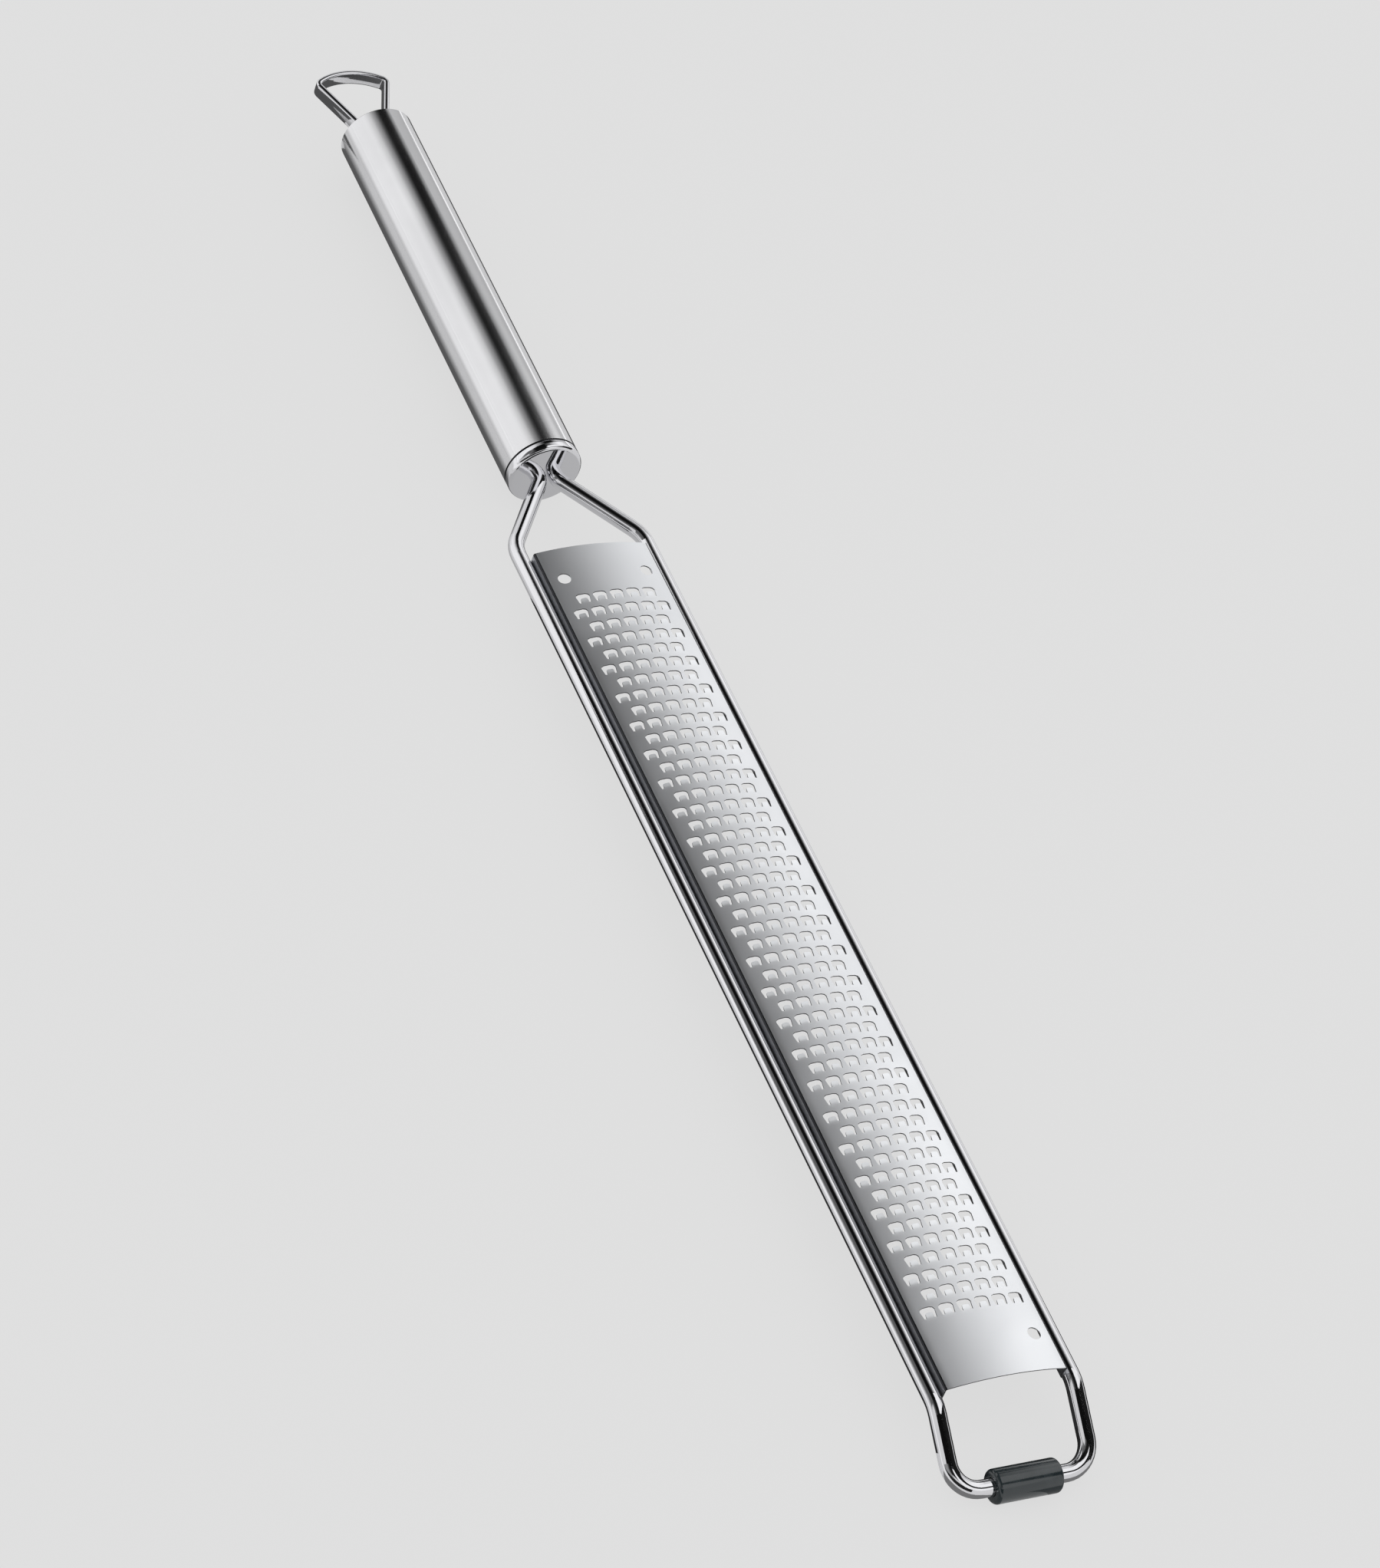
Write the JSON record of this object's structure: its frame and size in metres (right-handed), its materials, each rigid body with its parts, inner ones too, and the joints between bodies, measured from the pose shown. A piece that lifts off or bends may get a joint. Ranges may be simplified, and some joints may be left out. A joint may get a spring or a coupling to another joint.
{
  "type": "citrus zester",
  "caption": "Long-handled citrus zester: crowned grating blade in a bent wire frame, round steel grip with a hanging loop, and a dark sleeve on the foot.",
  "frame": {"origin": "under the middle of the bounding box, level with the underside of the foot sleeve", "axes": "+Y from the foot to the hanging loop, +Z out of the grating face, +X across the blade"},
  "size_m": [0.038, 0.4408, 0.0222],
  "materials": {
    "grip_steel": "fine brushed stainless steel",
    "polished_steel": "mirror-polished stainless steel",
    "blade_steel": "satin stainless steel sheet with etched openings",
    "sleeve_rubber": "smooth dark grey sleeve with a soft gloss"
  },
  "bodies": {
    "root": {"handle_tube": "grip_steel", "front_end_cap": "polished_steel", "rear_end_cap": "polished_steel", "hanging_loop": "polished_steel", "frame_wire": "polished_steel", "grating_blade": "blade_steel", "foot_sleeve": "sleeve_rubber"}
  },
  "joints": []
}
